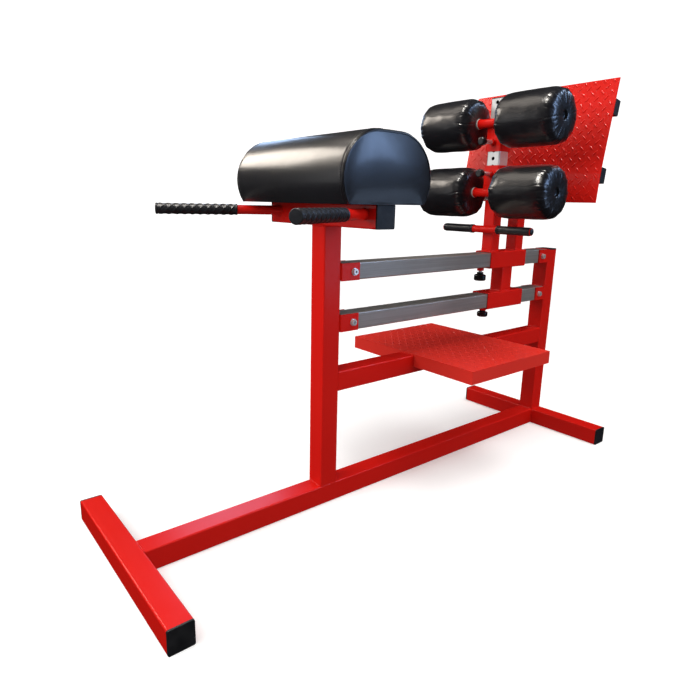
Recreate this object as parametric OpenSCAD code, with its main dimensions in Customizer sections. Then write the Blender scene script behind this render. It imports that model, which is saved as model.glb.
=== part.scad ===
// Roman chair with a sliding roller carriage, in millimetres.
// +X runs from the hand grips towards the foot plate, +Z is up,
// and the origin is on the floor under the middle of the machine.

/* [Floor frame] */
// Overall length of the floor frame
length = 1765; // [1745:5:1785]
// Overall width across one floor foot
foot_w = 620; // [540:10:700]
// Outer side of the main square tube
tube = 60; // [60:1:62]
// Wall of the main square tube
tube_wall = 3; // [2:0.5:4]
// Thickness of the black end plugs outside the tube
plug_lip = 5; // [3:1:8]

/* [Posts and step] */
// Distance from the front end to the front post's front face
post_x = 594; // [585:1:600]
// Height of the rear post with its plug
rear_post_h = 728; // [728:1:760]
// Height of the lower beam's top face
mid_beam_top = 410; // [380:5:430]
// Step tray's width
tray_w = 534; // [440:2:600]
// Step tray's length
tray_l = 415; // [340:5:430]
// Depth of the tray's folded skirt
tray_skirt = 42; // [30:1:50]

/* [Rails] */
// Height of the upper rail's centre
upper_rail_z = 701; // [701:1:702]
// Height of the lower rail's centre
lower_rail_z = 554; // [540:1:560]
// Rail height
rail_h = 50; // [50:1:51]
// Reach of a rail bracket from its post
bracket_l = 66; // [60:1:72]

/* [Hip pad and hand grips] */
// Underside height of the pad and top of the cross beam
pad_z = 890; // [880:1:900]
// Overall width across the cross beam's plugs
beam_w = 470; // [420:5:520]
// Pad length across the machine
pad_w = 484; // [440:2:520]
// Pad depth from front to back
pad_d = 290; // [270:2:300]
// Pad height above the cross beam
pad_h = 169; // [150:1:175]
// Outward splay of each hand grip in degrees
grip_splay = 27; // [15:0.5:30]
// Length of each hand grip from the cross beam
grip_reach = 355; // [300:5:360]

/* [Carriage] */
// Distance from the front end to the carriage sleeves' front edge
carriage_x = 1335.5; // [1330:0.5:1345]
// Length of each carriage sleeve
sleeve_l = 208; // [205:1:212]
// Top of the bright height tube
height_tube_top = 1242; // [1236:1:1260]
// Spacing of the height holes
height_pitch = 26; // [25:1:26]
// Spacing of the rail's setting holes
rail_pitch = 45; // [40:1:50]

/* [Rollers] */
// Radius of a foot roller
roller_r = 86; // [70:1:88]
// Outer end of a roller, from the middle of the machine
roller_out = 262; // [240:1:275]
// Height of the upper roller axle
upper_axle_z = 1162; // [1160:1:1163]
// Height of the lower roller axle
lower_axle_z = 934; // [932:1:935]

/* [Foot plate] */
// Foot plate width
plate_w = 560; // [500:5:600]
// Length of the sloping upper panel
plate_h = 308; // [290:1:320]
// Backward lean of the upper panel in degrees
plate_lean = 9.9; // [8:0.1:11]

/* [Hidden] */
$fn = 64;
gap = 0.3;                        // clearance between neighbouring pieces
x0 = -length / 2;                 // front end of the machine
half = tube / 2;
bore_side = tube - 2 * tube_wall;
corner = 4;                       // outside corner radius of the square tubes

paint = [0.80, 0.07, 0.07];
black = [0.04, 0.04, 0.04];
vinyl = [0.05, 0.05, 0.06];
raw_steel = [0.42, 0.41, 0.39];
bright_steel = [0.86, 0.86, 0.85];
zinc = [0.75, 0.75, 0.74];
plywood = [0.62, 0.47, 0.30];
nylon = [0.85, 0.84, 0.80];

plug_depth = 20;
plug_taper = 1;                   // how much smaller the plug's spigot is

post_front = x0 + post_x;
post_back = post_front + tube;
rear_face = -x0 - tube;           // rear post's front face
post_mid = post_front + half;
rear_mid = rear_face + half;

tray_x = x0 + 969;
tray_t = 4;
tray_notch = tube + 2;

bracket_t = 5;
bracket_in = tube + 0.4;
bracket_out = bracket_in + 2 * bracket_t;
bracket_bolt = bracket_l - 21;    // bolt distance from the post
rail_gap = 0.5;
rail_wall = 4;
rail_x0 = post_back + bracket_t + rail_gap;
rail_x1 = rear_face - bracket_t - rail_gap;
bolt_r = 5;
bolt_hole_r = 5.3;
washer_t = 2;
washer_r = 10.5;
head_r = 9;
head_h = 7;
nut_af = 17;                      // nut size across its flats
nut_h = 8;

beam_z0 = pad_z - tube;
beam_half = beam_w / 2 - plug_lip;
board_t = 18;
board_w = 450;
board_d = 236;
pad_bolt_y = 150;
pad_bolt_r = 4;
pad_head_r = 7;
pad_head_h = 6;
pad_access_r = 9;                 // hole below each pad bolt's head
pad_round = 110;                  // radius of the pad's long edges
pad_mid_z = pad_z + pad_h - pad_round;

grip_r = 16;
grip_bar_r = 13.5;
grip_bar_wall = 2;
grip_z = pad_z - 24;
grip_y = 189;
grip_start = 125;                 // where the knurled sleeve begins
grip_end_t = 5;

sleeve_x0 = x0 + carriage_x;
sleeve_x1 = sleeve_x0 + sleeve_l;
sleeve_wall = 3;
sleeve_w = 70;
sleeve_h = 60;
bush_l = 40;
bush_inset = 2;
bush_fit = 0.05;
slide_fit = 0.2;
spacer_x = x0 + 1452;
spacer_l = 60;
spacer_w = 50;

upright = 45;
upright_wall = 3;
upright_x = x0 + 1370;
height_tube = 50;
height_tube_wall = 2.2;
height_tube_z = 908;
spigot_top = 985;
height_hole_r = 6;
height_hole_top = 1230;
height_holes = 10;

bar_r = 12.5;
bar_grip_r = 14.5;
bar_half = 183;
bar_grip_from = 50;
bar_grip_to = 188;
bar_z = 808;
bar_x = upright_x - upright / 2 - bar_r - 1;

pin_r = 6;
pin_y = 18;
pin_x = x0 + 1348;
pin_boss_r = 12;
pin_boss_h = 12;
clamp_x = x0 + 1355;
knob_r = 21;
clamp_knob_r = 19;

holder = 60;
holder_bore = 50.6;
holder_len = 106;
axle_to_end = 15;                 // axle centre to the near end of the sleeve
axle_to_pin = 62;
holder_boss_r = 11;
holder_boss_h = 14;
barrel_r = 7.5;                   // thicker part of the pin outside the boss
barrel_gap = 0.5;
knob_gap = 31;                    // from a holder's boss to its knob
pin_stem = 16;
axle_tube_r = 14;
axle_tube_half = 49;
axle_saddle = 1;
axle_x = upright_x - holder / 2 - axle_tube_r - axle_saddle;
axle_bore_r = 8.2;
axle_r = 8;
axle_half = 236;
core_bore_r = 8.05;
core_r = 15;
core_flange_r = 17.5;
core_in = 49.4;
core_flange_t = 3;
core_out = 250;
axle_nut_r = 12;
axle_nut_t = 8;
roller_in = 55;
roller_edge = 36;                 // rounding of the roller's ends

plate_t = 4;
plate_x = x0 + 1547;              // fold line of the foot plate
plate_z = 1000;
flap_drop = 95;
flap_lean = 4.8;
cross_h = 50;
cross_d = 32;
cross_wall = 2.5;
cross_low = -3;                   // tube centres, measured up from the fold
cross_high = 218;
spine_w = 50;
rear_upright_x = x0 + 1515.5;
rear_upright_top = 1000;
wedge_w = 90;

// Which sub-part to build, or all of them

// ---------------------------------------------------------------- outlines
// Square with rounded corners, centred
module rounded(w, h, r) {
    square([w - 2 * r, h], center = true);
    square([w, h - 2 * r], center = true);
    for (sx = [-1, 1], sy = [-1, 1]) {
        translate([sx * (w / 2 - r), sy * (h / 2 - r)])
            circle(r);
    }
}

// Outline of a rectangular tube, centred
module tube_outline(w, h, wall, r = corner) {
    difference() {
        rounded(w, h, r);
        rounded(w - 2 * wall, h - 2 * wall, max(r - wall, 1));
    }
}

// Extrude an outline along X, from x = 0
module along_x(len) {
    rotate([90, 0, 90])
        linear_extrude(len)
            children();
}

// Extrude an outline along Y, centred
module along_y(len) {
    rotate([90, 0, 0])
        translate([0, 0, -len / 2])
            linear_extrude(len)
                children();
}

module rod_x(r, len) {
    rotate([0, 90, 0])
        cylinder(r = r, h = len);
}

module rod_y(r, len) {
    rotate([90, 0, 0])
        translate([0, 0, -len / 2])
            cylinder(r = r, h = len);
}

// Domed steel cap head with a hexagon socket, facing +Z from z = 0
module cap_head(r, h) {
    difference() {
        union() {
            cylinder(r = r, h = h - 1);
            cylinder(r1 = r, r2 = r - 1, h = h);
        }
        translate([0, 0, h - 4])
            cylinder(r = r * 0.45, h = 5, $fn = 6);
    }
}

// Hexagon nut with a clear bore, from z = 0
module hex_nut(af, h, bore_r) {
    difference() {
        cylinder(r = af / sqrt(3), h = h, $fn = 6);
        translate([0, 0, -1])
            cylinder(r = bore_r, h = h + 2);
    }
}

// Round plug with a square spigot for a tube's end, lip on +Z
module square_plug(side, bore) {
    linear_extrude(plug_lip)
        rounded(side, side, corner);
    translate([0, 0, -plug_depth])
        linear_extrude(plug_depth)
            rounded(bore - plug_taper, bore - plug_taper, 1);
}

// ------------------------------------------------------------- floor frame
module foot(x) {
    translate([x, 0, half])
        along_y(foot_w - 2 * plug_lip)
            tube_outline(tube, tube, tube_wall);
}

module floor_feet() {
    color(paint) {
        foot(x0 + half);
        foot(-x0 - half);
    }
}

module base_beam() {
    color(paint)
        translate([x0 + tube, 0, half])
            along_x(length - 2 * tube)
                tube_outline(tube, tube, tube_wall);
}

module front_post() {
    color(paint)
        translate([post_mid, 0, tube])
            linear_extrude(beam_z0 - tube)
                tube_outline(tube, tube, tube_wall);
}

module rear_post() {
    color(paint)
        translate([rear_mid, 0, tube])
            linear_extrude(rear_post_h - plug_lip - tube)
                tube_outline(tube, tube, tube_wall);
}

module mid_beam() {
    color(paint)
        translate([post_back, 0, mid_beam_top - half])
            along_x(rear_face - post_back)
                tube_outline(tube, tube, tube_wall);
}

// Folded tray, open underneath, notched at both ends over the beam
module step_tray() {
    color(paint)
        translate([tray_x + tray_l / 2, 0, mid_beam_top])
            difference() {
                translate([0, 0, tray_t - tray_skirt])
                    linear_extrude(tray_skirt)
                        rounded(tray_l, tray_w, 3);
                translate([0, 0, -tray_skirt])
                    linear_extrude(tray_skirt)
                        square([tray_l - 2 * tray_t, tray_w - 2 * tray_t],
                               center = true);
                translate([0, 0, -tray_skirt])
                    linear_extrude(tray_skirt)
                        square([tray_l + 2, tray_notch], center = true);
            }
}

module square_plugs() {
    color(black) {
        for (x = [x0 + half, -x0 - half], s = [-1, 1]) {
            translate([x, s * (foot_w / 2 - plug_lip), half])
                rotate([-90 * s, 0, 0])
                    square_plug(tube, bore_side);
        }
        for (s = [-1, 1]) {
            translate([post_mid, s * beam_half, beam_z0 + half])
                rotate([-90 * s, 0, 0])
                    square_plug(tube, bore_side);
        }
        translate([rear_mid, 0, rear_post_h - plug_lip])
            square_plug(tube, bore_side);
    }
}

// ------------------------------------------------------------------- rails
// U bracket open towards +X with its web at x = 0
module rail_bracket() {
    difference() {
        translate([0, 0, -rail_h / 2])
            linear_extrude(rail_h)
                difference() {
                    translate([0, -bracket_out / 2])
                        square([bracket_l, bracket_out]);
                    translate([bracket_t, -bracket_in / 2])
                        square([bracket_l, bracket_in]);
                }
        translate([bracket_bolt, 0, 0])
            rod_y(bolt_hole_r, bracket_out + 2);
    }
}

// Put the children at the four bracket places, facing their rail
module at_brackets() {
    for (z = [lower_rail_z, upper_rail_z]) {
        translate([post_back, 0, z])
            children();
        translate([rear_face, 0, z])
            mirror([1, 0, 0])
                children();
    }
}

module rail_brackets() {
    color(paint)
        at_brackets()
            rail_bracket();
}

module rail(z) {
    difference() {
        translate([rail_x0, 0, z])
            along_x(rail_x1 - rail_x0)
                tube_outline(tube, rail_h, rail_wall);
        for (x = [post_back + bracket_bolt, rear_face - bracket_bolt]) {
            translate([x, 0, z])
                rod_y(bolt_hole_r, tube + 2);
        }
    }
}

// The upper rail has a row of setting holes in its underside
module upper_rail() {
    color(raw_steel)
        difference() {
            rail(upper_rail_z);
            for (k = [-9 : 2]) {
                translate([pin_x + k * rail_pitch, pin_y,
                           upper_rail_z - rail_h / 2 - 1])
                    cylinder(r = pin_r + 0.5, h = rail_wall + 2);
            }
        }
}

module lower_rail() {
    color(raw_steel)
        rail(lower_rail_z);
}

module rail_bolts() {
    color(zinc)
        at_brackets()
            translate([bracket_bolt, -bracket_out / 2 - washer_t, 0])
                rotate([90, 0, 0]) {
                    cap_head(head_r, head_h);
                    translate([0, 0, -bracket_out - 2 * washer_t - nut_h - 2])
                        cylinder(r = bolt_r,
                                 h = bracket_out + 2 * washer_t + nut_h + 3);
                }
}

module rail_washers() {
    color(zinc)
        at_brackets()
            for (s = [-1, 1]) {
                translate([bracket_bolt,
                           s * (bracket_out + washer_t) / 2, 0])
                    difference() {
                        rod_y(washer_r, washer_t);
                        rod_y(bolt_hole_r, washer_t + 2);
                    }
            }
}

module rail_nuts() {
    color(zinc)
        at_brackets()
            translate([bracket_bolt, bracket_out / 2 + washer_t, 0])
                rotate([-90, 0, 0])
                    hex_nut(nut_af, nut_h, bolt_r + 0.05);
}

// ----------------------------------------------------- hip pad and its beam
module cross_beam() {
    color(paint)
        difference() {
            translate([post_mid, 0, beam_z0 + half])
                along_y(2 * beam_half)
                    tube_outline(tube, tube, tube_wall);
            for (s = [-1, 1]) {
                translate([post_mid, s * pad_bolt_y, beam_z0 - 1]) {
                    cylinder(r = pad_bolt_r + 0.5, h = tube + 2);
                    cylinder(r = pad_access_r, h = tube_wall + 2);
                }
            }
        }
}

module pad_board() {
    color(plywood)
        difference() {
            translate([post_mid, 0, pad_z])
                linear_extrude(board_t)
                    rounded(board_d, board_w, 12);
            for (s = [-1, 1]) {
                translate([post_mid, s * pad_bolt_y, pad_z - 1])
                    cylinder(r = pad_bolt_r + 0.2, h = board_t + 2);
            }
        }
}

// Half-round cushion wrapped over the board
module pad_cushion() {
    flat = pad_d / 2 - pad_round;
    color(vinyl)
        difference() {
            translate([post_mid, 0, 0])
                along_y(pad_w)
                    intersection() {
                        translate([0, pad_mid_z]) {
                            square([2 * flat, 2 * pad_round], center = true);
                            for (s = [-1, 1]) {
                                translate([s * flat, 0])
                                    circle(pad_round, $fn = 96);
                            }
                        }
                        translate([-pad_d, pad_z + gap])
                            square([2 * pad_d, pad_h]);
                    }
            translate([post_mid, 0, pad_z - 1])
                linear_extrude(board_t + gap + 1)
                    rounded(board_d + 2 * gap, board_w + 2 * gap, 12);
        }
}

// Their heads sit inside the cross beam, against its upper wall
module pad_bolts() {
    color(zinc)
        for (s = [-1, 1]) {
            translate([post_mid, s * pad_bolt_y, pad_z - tube_wall])
                rotate([180, 0, 0]) {
                    cap_head(pad_head_r, pad_head_h);
                    translate([0, 0, 2 - tube_wall - board_t])
                        cylinder(r = pad_bolt_r, h = tube_wall + board_t);
                }
        }
}

// Put the children at both hand grips, with +X along the grip
module at_grips() {
    for (s = [-1, 1]) {
        translate([post_front, s * grip_y, grip_z])
            rotate([0, 0, 180 - s * grip_splay])
                children();
    }
}

module grip_bars() {
    color(paint)
        difference() {
            at_grips()
                translate([-20, 0, 0])
                    difference() {
                        rod_x(grip_bar_r, grip_reach + 20 - grip_end_t - gap);
                        translate([-1, 0, 0])
                            rod_x(grip_bar_r - grip_bar_wall, grip_reach + 25);
                    }
            translate([post_front, -foot_w / 2, beam_z0 - tube])
                cube([tube, foot_w, 3 * tube]);
        }
}

// Rubber sleeves with a closed outer end
module grip_sleeves() {
    color(black)
        at_grips()
            difference() {
                translate([grip_start, 0, 0])
                    rod_x(grip_r, grip_reach - grip_start);
                translate([grip_start - 1, 0, 0])
                    rod_x(grip_bar_r + 0.1,
                          grip_reach - grip_end_t - grip_start + 1);
            }
}

// ---------------------------------------------------------------- carriage
module sleeve(z) {
    translate([sleeve_x0, 0, z])
        along_x(sleeve_l)
            tube_outline(sleeve_w, sleeve_h, sleeve_wall);
}

// Sleeve on the upper rail, with the pull pin's boss below it
module upper_sleeve() {
    z_low = upper_rail_z - sleeve_h / 2;
    color(paint)
        difference() {
            union() {
                sleeve(upper_rail_z);
                translate([pin_x, pin_y, z_low - pin_boss_h])
                    cylinder(r = pin_boss_r, h = pin_boss_h + 0.5);
            }
            translate([pin_x, pin_y, z_low - pin_boss_h - 1])
                cylinder(r = pin_r + 0.05, h = pin_boss_h + sleeve_wall + 2);
        }
}

// Sleeve on the lower rail, with the clamp screw's boss below it
module lower_sleeve() {
    z_low = lower_rail_z - sleeve_h / 2;
    color(paint)
        difference() {
            union() {
                sleeve(lower_rail_z);
                translate([clamp_x, 0, z_low - 8])
                    cylinder(r = pin_boss_r, h = 8.5);
            }
            translate([clamp_x, 0, z_low - 9])
                cylinder(r = pin_r + 0.05, h = 9 + sleeve_wall + 1);
        }
}

// Nylon liners at both ends of both sleeves
module slide_bushes() {
    out_w = sleeve_w - 2 * sleeve_wall - 2 * bush_fit;
    out_h = sleeve_h - 2 * sleeve_wall - 2 * bush_fit;
    color(black)
        difference() {
            for (z = [lower_rail_z, upper_rail_z]) {
                for (x = [sleeve_x0 + bush_inset,
                          sleeve_x1 - bush_inset - bush_l]) {
                    translate([x, 0, z])
                        along_x(bush_l)
                            difference() {
                                rounded(out_w, out_h, 1.2);
                                rounded(tube + 2 * slide_fit,
                                        rail_h + 2 * slide_fit, 3.5);
                            }
                }
            }
            translate([pin_x, pin_y, upper_rail_z - sleeve_h / 2])
                cylinder(r = pin_r + 1, h = 10);
            translate([clamp_x, 0, lower_rail_z - sleeve_h / 2])
                cylinder(r = pin_r + 1, h = 10);
        }
}

module sleeve_spacer() {
    z_low = lower_rail_z + sleeve_h / 2;
    color(paint)
        translate([spacer_x, 0, z_low])
            linear_extrude(upper_rail_z - sleeve_h / 2 - z_low)
                tube_outline(spacer_l, spacer_w, upright_wall);
}

module roller_upright() {
    z_low = upper_rail_z + sleeve_h / 2;
    color(paint)
        translate([upright_x, 0, z_low])
            linear_extrude(spigot_top - z_low)
                tube_outline(upright, upright, upright_wall);
}

// Bright tube with a row of setting holes in its front face
module height_tube() {
    color(bright_steel)
        difference() {
            translate([upright_x, 0, height_tube_z])
                linear_extrude(height_tube_top - height_tube_z)
                    tube_outline(height_tube, height_tube,
                                 height_tube_wall, 3.5);
            for (k = [0 : height_holes - 1]) {
                translate([upright_x - height_tube, 0,
                           height_hole_top - k * height_pitch])
                    rod_x(height_hole_r, height_tube);
            }
        }
}

module height_tube_cap() {
    inner = height_tube - 2 * height_tube_wall;
    color(black)
        translate([upright_x, 0, height_tube_top]) {
            linear_extrude(3)
                rounded(height_tube, height_tube, 3.5);
            translate([0, 0, -8])
                linear_extrude(8)
                    rounded(inner - 1, inner - 1, 1);
        }
}

// Cross bar with a short saddle against the upright
module hand_bar() {
    color(paint)
        difference() {
            union() {
                translate([bar_x, 0, bar_z])
                    rod_y(bar_r, 2 * bar_half);
                translate([bar_x, -15, bar_z - 9])
                    cube([bar_r + 1, 30, 18]);
            }
            translate([bar_x, 0, bar_z])
                rod_y(bar_r - 2.5, 2 * bar_half + 2);
        }
}

module hand_bar_grips() {
    color(black)
        for (s = [-1, 1]) {
            translate([bar_x, s * (bar_grip_from + bar_grip_to) / 2, bar_z])
                difference() {
                    rod_y(bar_grip_r, bar_grip_to - bar_grip_from);
                    translate([0, -s * (bar_grip_to - bar_half), 0])
                        rod_y(bar_r + 0.1, bar_grip_to - bar_grip_from + 0.2);
                }
        }
}

// -------------------------------------------------------------- foot plate
// Frame of the sloping panel: origin on the fold, z up the panel
module on_panel() {
    translate([plate_x, 0, plate_z])
        rotate([0, plate_lean, 0])
            children();
}

// Points up the panel's front face and down the flap's front face
panel_top = [plate_h * sin(plate_lean), plate_h * cos(plate_lean)];
panel_back = [plate_t * cos(plate_lean), -plate_t * sin(plate_lean)];
fold_mid = (plate_lean + flap_lean) / 2;
fold_half = (plate_lean - flap_lean) / 2;
fold_t = plate_t / cos(fold_half);
fold_back = [fold_t * cos(fold_mid), -fold_t * sin(fold_mid)];
flap_end = [-flap_drop * sin(flap_lean), -flap_drop * cos(flap_lean)];
flap_back = [plate_t * cos(flap_lean), -plate_t * sin(flap_lean)];

module foot_plate() {
    color(paint)
        translate([plate_x, 0, plate_z])
            along_y(plate_w)
                polygon([[0, 0], panel_top, panel_top + panel_back,
                         fold_back, flap_end + flap_back, flap_end]);
}

// Put the children at both cross tubes' centres, z up the plate. The lower
// tube bridges the fold, so it stands off by the depth of the bend.
module at_cross_tubes() {
    bend = (cross_h / 2 - cross_low) * tan(fold_half) + 0.02;
    translate([plate_x + fold_back[0], 0, plate_z + fold_back[1]])
        rotate([0, fold_mid, 0])
            translate([bend + cross_d / 2, 0, cross_low])
                children();
    on_panel()
        translate([plate_t + cross_d / 2, 0, cross_high])
            children();
}

module plate_cross_tubes() {
    color(paint)
        at_cross_tubes()
            along_y(plate_w - 2 * plug_lip)
                tube_outline(cross_d, cross_h, cross_wall, 3);
}

module plate_cross_plugs() {
    inner_d = cross_d - 2 * cross_wall - plug_taper;
    inner_h = cross_h - 2 * cross_wall - plug_taper;
    color(black)
        at_cross_tubes()
            for (s = [-1, 1]) {
                translate([0, s * (plate_w / 2 - plug_lip), 0])
                    rotate([-90 * s, 0, 0]) {
                        linear_extrude(plug_lip)
                            rounded(cross_d, cross_h, 3);
                        translate([0, 0, -15])
                            linear_extrude(15)
                                rounded(inner_d, inner_h, 1);
                    }
            }
}

// The lower cross tube sits at the fold's middle angle, which lifts its
// rear top edge towards the spine
module plate_spine() {
    lift = (cross_d + 5) * sin(fold_half);
    z_low = cross_low + cross_h / 2 + lift;
    color(paint)
        on_panel()
            translate([plate_t + cross_d / 2, 0, z_low])
                linear_extrude(cross_high - cross_h / 2 - z_low)
                    tube_outline(cross_d, spine_w, cross_wall, 3);
}

module plate_upright() {
    z_low = upper_rail_z + sleeve_h / 2;
    color(paint)
        translate([rear_upright_x, 0, z_low])
            linear_extrude(rear_upright_top - z_low)
                tube_outline(upright, upright, upright_wall);
}

module plate_upright_cap() {
    inner = upright - 2 * upright_wall - plug_taper;
    color(black)
        translate([rear_upright_x, 0, rear_upright_top]) {
            linear_extrude(3)
                rounded(upright, upright, corner);
            translate([0, 0, -12])
                linear_extrude(12)
                    rounded(inner, inner, 1);
        }
}

// Welded wedge between the rear upright and the flap
module plate_wedge() {
    z_low = 10;
    z_high = 90;
    face = rear_upright_x + upright / 2;
    function flap_x(h) = plate_x - h * tan(flap_lean);
    color(paint)
        along_y(wedge_w)
            polygon([[face, plate_z - z_high],
                     [flap_x(z_high), plate_z - z_high],
                     [flap_x(z_low), plate_z - z_low],
                     [face, plate_z - z_low]]);
}

// --------------------------------------------------------- pins and knobs
// Pull pin pointing along +Z, with its nose at z = 0
module pull_pin(nose, stem) {
    translate([0, 0, -nose])
        cylinder(r = pin_r, h = nose);
    translate([0, 0, -nose - stem])
        cylinder(r = pin_r - 1, h = stem + 1);
}

// Mushroom knob below z = 0, with a bore for the pin's stem
module mushroom(r, neck, cap, bore_r, depth) {
    difference() {
        rotate_extrude()
            union() {
                translate([0, -neck])
                    square([r * 0.55, neck]);
                translate([0, -neck - cap])
                    square([r - 5, cap]);
                translate([0, -neck - cap + 5])
                    square([r, cap - 10]);
                translate([r - 5, -neck - 5])
                    circle(5);
                translate([r - 5, -neck - cap + 5])
                    circle(5);
            }
        translate([0, 0, -depth])
            cylinder(r = bore_r, h = depth + 1);
    }
}

carriage_pin_z = upper_rail_z - rail_h / 2 - 0.6;
carriage_boss_z = upper_rail_z - sleeve_h / 2 - pin_boss_h;

module carriage_pin() {
    color(zinc)
        translate([pin_x, pin_y, carriage_pin_z])
            pull_pin(carriage_pin_z - carriage_boss_z + 5, 18);
}

module carriage_pin_knob() {
    color(black)
        translate([pin_x, pin_y, carriage_boss_z - 6])
            mushroom(knob_r, 8, 22, pin_r - 0.95, 22);
}

clamp_tip_z = lower_rail_z - rail_h / 2 - 0.5;
clamp_boss_z = lower_rail_z - sleeve_h / 2 - 8;

module clamp_screw() {
    color(zinc)
        translate([clamp_x, 0, clamp_boss_z - 14])
            cylinder(r = pin_r, h = clamp_tip_z - clamp_boss_z + 14);
}

module clamp_knob() {
    color(black)
        translate([clamp_x, 0, clamp_boss_z - 2])
            mushroom(clamp_knob_r, 4, 18, pin_r + 0.05, 14);
}

// --------------------------------------------------------- roller holders
// Height of the pull pin on a holder; dir is -1 where the pin hangs below
function holder_pin_z(axle_z, dir) = axle_z + dir * axle_to_pin;
holder_boss_x = upright_x - holder / 2 - holder_boss_h;

// Sleeve on the height tube with the pull pin's boss on its front
module roller_holder(axle_z, dir) {
    z_end = axle_z - dir * axle_to_end;
    z_low = min(z_end, z_end + dir * holder_len);
    z_pin = holder_pin_z(axle_z, dir);
    color(paint)
        difference() {
            union() {
                translate([upright_x, 0, z_low])
                    linear_extrude(holder_len)
                        difference() {
                            rounded(holder, holder, 4);
                            rounded(holder_bore, holder_bore, 3);
                        }
                translate([holder_boss_x, 0, z_pin])
                    rod_x(holder_boss_r, holder_boss_h + 1);
            }
            translate([upright_x - holder, 0, z_pin])
                rod_x(pin_r + 0.05, holder);
        }
}

// Cross tube with an end flange on each side and a saddle to the sleeve
module axle_tube(axle_z) {
    color(paint)
        translate([axle_x, 0, axle_z])
            difference() {
                union() {
                    rod_y(axle_tube_r, 2 * axle_tube_half);
                    for (s = [-1, 1]) {
                        translate([0, s * (axle_tube_half - 1.5), 0])
                            rod_y(axle_tube_r + 3, 3);
                    }
                    translate([0, -20, -10])
                        cube([axle_tube_r + axle_saddle, 40, 20]);
                }
                rod_y(axle_bore_r, 2 * axle_tube_half + 2);
            }
}

module axle(axle_z) {
    color(zinc)
        translate([axle_x, 0, axle_z])
            rod_y(axle_r, 2 * (axle_half + axle_nut_t + 1));
}

module axle_nuts(axle_z) {
    color(zinc)
        for (s = [-1, 1]) {
            translate([axle_x, s * (axle_half + 1 + axle_nut_t / 2), axle_z])
                difference() {
                    rod_y(axle_nut_r, axle_nut_t);
                    rod_y(axle_r + 0.05, axle_nut_t + 2);
                }
        }
}

// Pull pin whose nose stops just inside the sleeve's front wall
module holder_pin(axle_z, dir) {
    nose_x = upright_x - holder_bore / 2 - 0.5;
    nose = nose_x - holder_boss_x + knob_gap - 1;
    color(zinc)
        translate([nose_x, 0, holder_pin_z(axle_z, dir)]) {
            rotate([0, 90, 0])
                pull_pin(nose, pin_stem);
            translate([-nose, 0, 0])
                rod_x(barrel_r, knob_gap - 1 - barrel_gap);
        }
}

module holder_pin_knob(axle_z, dir) {
    color(black)
        translate([holder_boss_x - knob_gap, 0, holder_pin_z(axle_z, dir)])
            rotate([0, 90, 0])
                mushroom(14, 6, 20, pin_r - 0.95, 18);
}

// Nylon core of one roller, s is -1 or 1
module roller_core(axle_z, s) {
    len = core_out - core_in;
    color(nylon)
        translate([axle_x, s * (core_in + core_out) / 2, axle_z])
            difference() {
                union() {
                    rod_y(core_r, len);
                    translate([0, -s * (len - core_flange_t) / 2, 0])
                        rod_y(core_flange_r, core_flange_t);
                }
                rod_y(core_bore_r, len + 2);
                translate([0, s * (len / 2 - 6), 0])
                    rod_y(axle_nut_r + 0.5, 16);
            }
}

// Padded roller, a round-ended drum with a blind bore for its core
module roller_cover(axle_z, s) {
    len = roller_out - roller_in;
    color(vinyl)
        translate([axle_x, s * roller_in, axle_z])
            rotate([-90 * s, 0, 0])
                difference() {
                    rotate_extrude($fn = 96)
                        union() {
                            square([roller_r - roller_edge, len]);
                            translate([0, roller_edge])
                                square([roller_r, len - 2 * roller_edge]);
                            for (z = [roller_edge, len - roller_edge]) {
                                translate([roller_r - roller_edge, z])
                                    circle(roller_edge);
                            }
                        }
                    translate([0, 0, -1])
                        cylinder(r = core_r + 0.1,
                                 h = core_out - roller_in + 1.3);
                }
}

module upper_holder() { roller_holder(upper_axle_z, -1); }
module lower_holder() { roller_holder(lower_axle_z, 1); }
module upper_axle_tube() { axle_tube(upper_axle_z); }
module lower_axle_tube() { axle_tube(lower_axle_z); }
module upper_axle() { axle(upper_axle_z); }
module lower_axle() { axle(lower_axle_z); }
module upper_axle_nuts() { axle_nuts(upper_axle_z); }
module lower_axle_nuts() { axle_nuts(lower_axle_z); }
module upper_pin() { holder_pin(upper_axle_z, -1); }
module lower_pin() { holder_pin(lower_axle_z, 1); }
module upper_pin_knob() { holder_pin_knob(upper_axle_z, -1); }
module lower_pin_knob() { holder_pin_knob(lower_axle_z, 1); }
module upper_left_roller() { roller_cover(upper_axle_z, 1); }
module upper_right_roller() { roller_cover(upper_axle_z, -1); }
module lower_left_roller() { roller_cover(lower_axle_z, 1); }
module lower_right_roller() { roller_cover(lower_axle_z, -1); }
module upper_left_core() { roller_core(upper_axle_z, 1); }
module upper_right_core() { roller_core(upper_axle_z, -1); }
module lower_left_core() { roller_core(lower_axle_z, 1); }
module lower_right_core() { roller_core(lower_axle_z, -1); }

floor_feet();
base_beam();
front_post();
rear_post();
mid_beam();
step_tray();
square_plugs();
rail_brackets();
upper_rail();
lower_rail();
rail_bolts();
rail_washers();
rail_nuts();
cross_beam();
pad_board();
pad_cushion();
pad_bolts();
grip_bars();
grip_sleeves();
upper_sleeve();
lower_sleeve();
slide_bushes();
sleeve_spacer();
roller_upright();
height_tube();
height_tube_cap();
hand_bar();
hand_bar_grips();
plate_upright();
plate_upright_cap();
plate_wedge();
foot_plate();
plate_cross_tubes();
plate_cross_plugs();
plate_spine();
carriage_pin();
carriage_pin_knob();
clamp_screw();
clamp_knob();
upper_holder();
upper_axle_tube();
upper_axle();
upper_axle_nuts();
upper_pin();
upper_pin_knob();
lower_holder();
lower_axle_tube();
lower_axle();
lower_axle_nuts();
lower_pin();
lower_pin_knob();
upper_left_roller();
upper_right_roller();
lower_left_roller();
lower_right_roller();
upper_left_core();
upper_right_core();
lower_left_core();
lower_right_core();
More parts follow.
